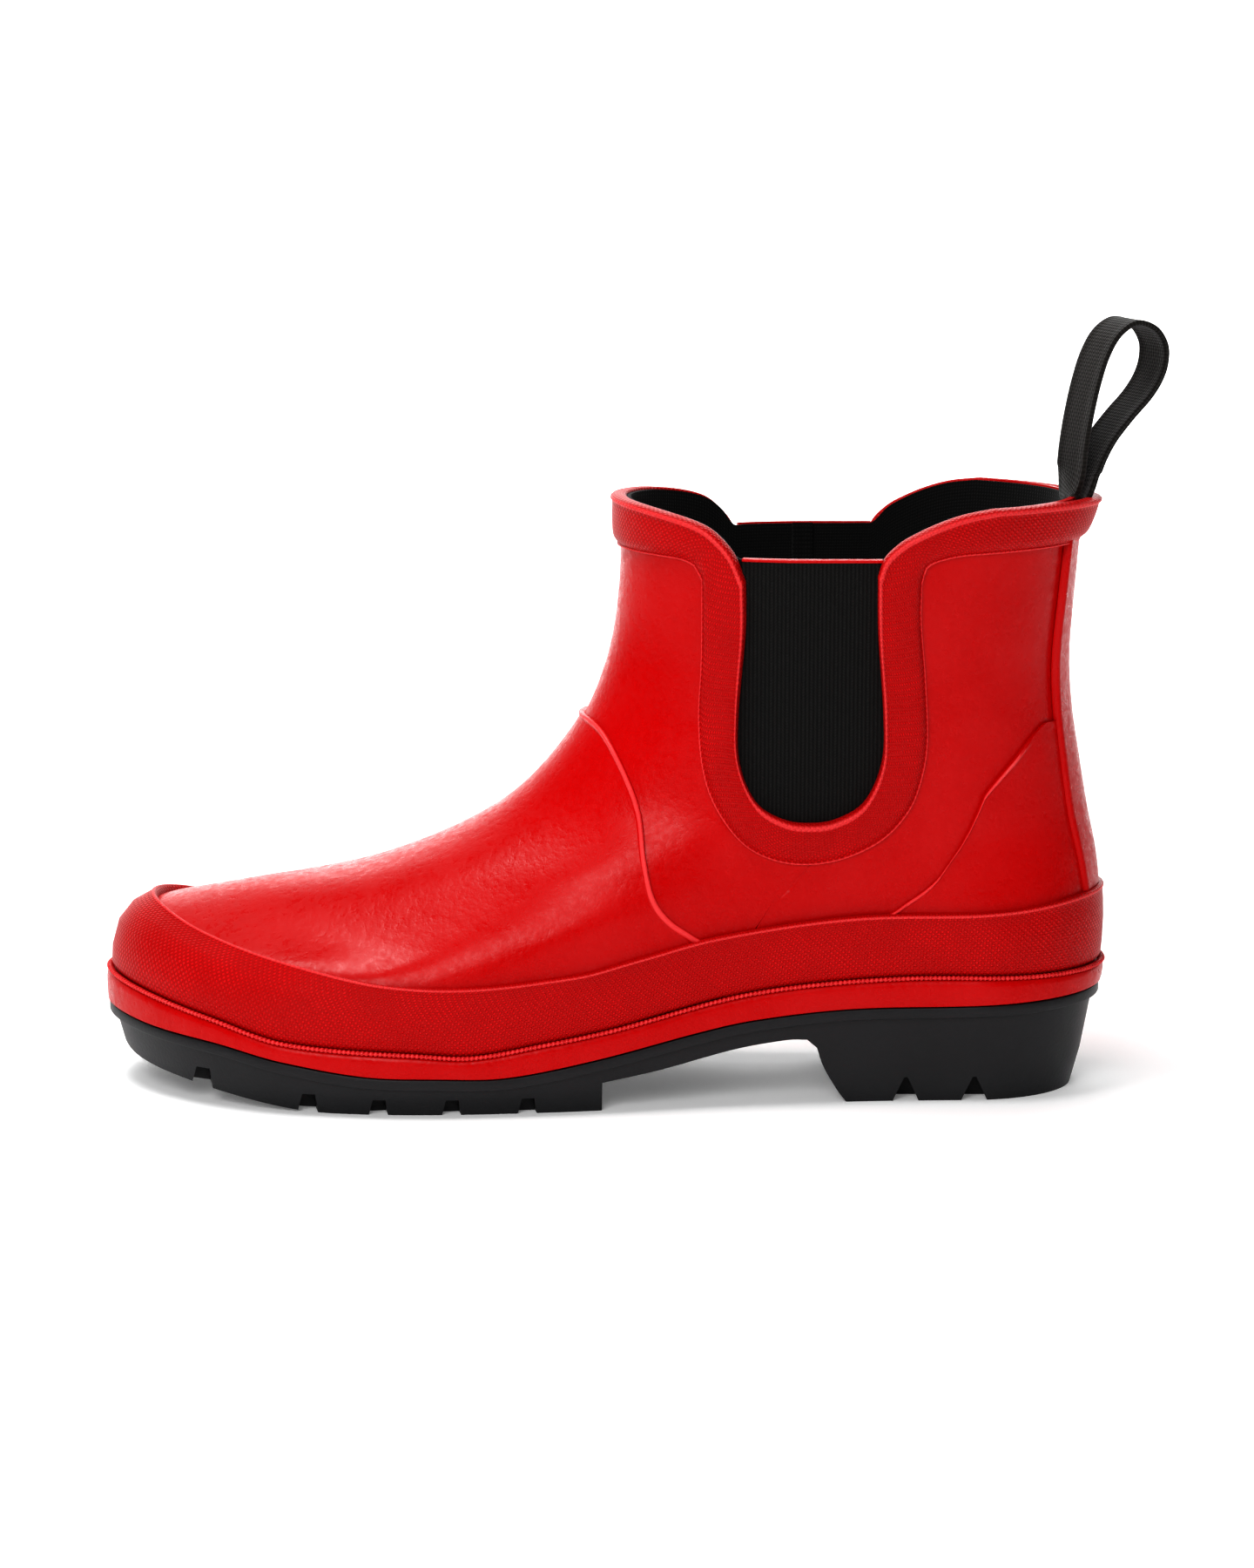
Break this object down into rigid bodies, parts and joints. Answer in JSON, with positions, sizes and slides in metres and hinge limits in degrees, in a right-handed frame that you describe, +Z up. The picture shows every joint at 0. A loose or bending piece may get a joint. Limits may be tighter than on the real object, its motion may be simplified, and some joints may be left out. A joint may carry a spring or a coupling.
{
  "type": "rubber rain boot",
  "caption": "Ankle-high pull-on rain boot for the left foot, with a moulded rubber upper, elastic side gores, a lugged sole and a webbing pull loop at the back.",
  "frame": {"origin": "middle of the heel's tread, on the ground", "axes": "+Z up, -X towards the toe, -Y towards the lateral (outer) side of this left boot"},
  "size_m": [0.2928, 0.1057, 0.2139],
  "materials": {
    "red_gloss": "smooth gloss, vulcanised",
    "red_stipple": "fine woven stipple, satin",
    "black_rubber": "matt moulded",
    "black_elastic": "ribbed elastic",
    "black_lining": "knitted jersey",
    "black_webbing": "woven polyester webbing",
    "grey_board": "pressed fibre",
    "steel": "plain rolled",
    "foam": "closed-cell foam"
  },
  "bodies": {
    "boot": {"outsole": "black_rubber", "heel_core": "foam", "shank": "steel", "forefoot_filler": "foam", "insole_board": "grey_board", "lining": "black_lining", "toe_puff": "grey_board", "heel_stiffener": "grey_board", "vamp": "red_gloss", "shaft": "red_gloss", "heel_counter": "red_gloss", "back_stay": "red_gloss", "foxing_band": "red_stipple", "welt_strip": "red_gloss", "collar_binding_front": "red_stipple", "collar_binding_back": "red_stipple", "gore_trim_lateral": "red_stipple", "gore_trim_medial": "red_stipple", "gore_lateral": "black_elastic", "gore_medial": "black_elastic", "gore_tape_lateral": "red_gloss", "gore_tape_medial": "red_gloss", "loop_tail_inner": "black_webbing", "loop_tail_outer": "black_webbing"},
    "loop": {"pull_loop": "black_webbing"},
    "insole": {"footbed": "foam"}
  },
  "joints": [
    {"name": "pull_loop_swing", "type": "hinge", "parent": "boot", "child": "loop", "pos_m": [0.035, 0, 0.1695], "axis": [-0.4226, 0.9063, 0], "range_deg": [-105, 80], "stiffness_Nm_per_rad": 0.004},
    {"name": "footbed_lift", "type": "hinge", "parent": "boot", "child": "insole", "pos_m": [-0.2262, 0.0075, 0.0236], "axis": [0, -1, 0], "range_deg": [0, 6]}
  ]
}
